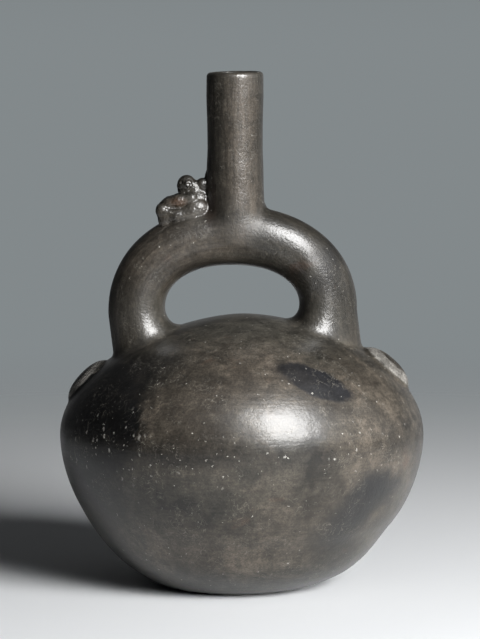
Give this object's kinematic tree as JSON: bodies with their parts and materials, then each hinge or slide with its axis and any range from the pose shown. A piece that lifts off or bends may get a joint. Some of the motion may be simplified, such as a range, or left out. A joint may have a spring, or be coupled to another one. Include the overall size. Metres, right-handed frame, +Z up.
{
  "type": "stirrup spout vessel",
  "caption": "Hollow bottle of burnished black clay with a round body, a hollow stirrup arch, an upright spout and a small seated animal beside the spout.",
  "frame": {"origin": "middle of the flat spot that the vessel rests on", "axes": "+Z up through the spout; X lies in the plane of the stirrup, the seated animal on the -X side of the spout; Y is across the stirrup"},
  "size_m": [0.1588, 0.1524, 0.224],
  "materials": {
    "burnished_clay": "burnished, smoke-blackened, glossy with dull scuffs"
  },
  "bodies": {
    "root": {"vessel": "burnished_clay"}
  },
  "joints": []
}
